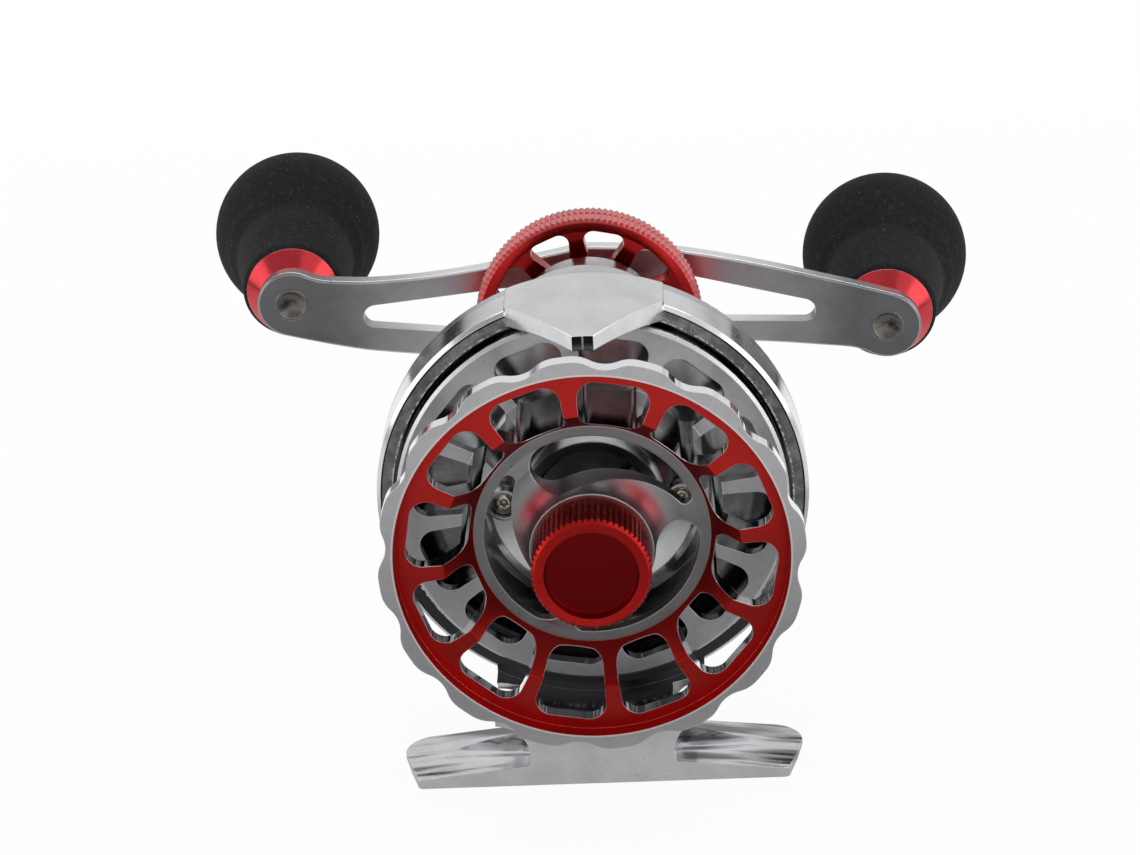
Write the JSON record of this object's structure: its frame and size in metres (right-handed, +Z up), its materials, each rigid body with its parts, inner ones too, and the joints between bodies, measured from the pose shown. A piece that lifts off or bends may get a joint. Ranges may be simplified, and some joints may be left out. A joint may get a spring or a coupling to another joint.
{
  "type": "raft fishing reel",
  "caption": "Raft fishing reel: windowed spool with a wavy rim in a cup frame on a reel foot, geared crank handle with two bulb knobs, star drag and front knob.",
  "frame": {"origin": "middle of the underside of the reel foot, where it lies on the rod", "axes": "+Z up from the foot through the spool, +Y back along the spool's axis from spool to handle, +X along the foot, to the right as seen from the spool side"},
  "size_m": [0.1304, 0.1088, 0.0795],
  "materials": {
    "chrome_casting": "polished",
    "machined_aluminium": "fine turned",
    "brushed_aluminium": "satin",
    "red_anodised": "anodised satin",
    "shaft_steel": "ground",
    "screw_steel": "dark satin",
    "bearing_steel": "ground",
    "black_spring_steel": "oiled black",
    "gear_brass": "machined",
    "drag_fibre": "matt woven fibre",
    "eva_foam": "matt foam"
  },
  "bodies": {
    "frame": {"frame": "chrome_casting", "frame_screws": "screw_steel", "gear_cover": "chrome_casting", "spool_bearing_front": "bearing_steel", "spool_bearing_rear": "bearing_steel", "drive_bearing": "bearing_steel", "one_way_bearing": "bearing_steel", "snap_ring": "black_spring_steel"},
    "spool": {"spool": "machined_aluminium", "spool_hub": "machined_aluminium", "spool_shaft": "shaft_steel", "shaft_clip": "black_spring_steel", "pinion": "gear_brass"},
    "spool_knob": {"spool_knob": "red_anodised"},
    "crank": {"drive_shaft": "shaft_steel", "main_gear": "gear_brass", "drag_washer": "drag_fibre", "pressure_plate": "shaft_steel", "one_way_sleeve": "shaft_steel", "spring_washers": "shaft_steel", "handle_spacer": "shaft_steel", "handle_arm": "brushed_aluminium", "handle_nut": "shaft_steel", "nut_screw": "screw_steel", "knob_post_left": "screw_steel", "knob_post_right": "screw_steel", "knob_screw_left": "screw_steel", "knob_screw_right": "screw_steel"},
    "star_wheel": {"star_wheel": "red_anodised"},
    "left_knob": {"knob_collar_left": "red_anodised", "knob_bearings_left": "bearing_steel", "knob_grip_left": "eva_foam"},
    "right_knob": {"knob_collar_right": "red_anodised", "knob_bearings_right": "bearing_steel", "knob_grip_right": "eva_foam"}
  },
  "joints": [
    {"name": "handle_spin", "type": "hinge", "parent": "frame", "child": "crank", "pos_m": [0, 0.029, 0.0612], "axis": [0, 1, 0], "continuous": true},
    {"name": "spool_spin", "type": "hinge", "parent": "frame", "child": "spool", "pos_m": [0, 0.002, 0.0432], "axis": [0, 1, 0], "continuous": true},
    {"name": "star_turn", "type": "hinge", "parent": "crank", "child": "star_wheel", "pos_m": [0, 0.0383, 0.0612], "axis": [0, 1, 0], "range_deg": [-270, 270]},
    {"name": "spool_knob_turn", "type": "hinge", "parent": "spool", "child": "spool_knob", "pos_m": [0, -0.015, 0.0432], "axis": [0, 1, 0], "range_deg": [0, 360]},
    {"name": "left_knob_spin", "type": "hinge", "parent": "crank", "child": "left_knob", "pos_m": [-0.05102, 0.07411, 0.06521], "axis": [-0.0609, 0.9981, 0.0048], "continuous": true},
    {"name": "right_knob_spin", "type": "hinge", "parent": "crank", "child": "right_knob", "pos_m": [0.05102, 0.07411, 0.05718], "axis": [0.0609, 0.9981, -0.0048], "continuous": true}
  ],
  "couplings": [
    {"joint": "spool_spin", "follows": "handle_spin", "ratio": -2.6}
  ]
}
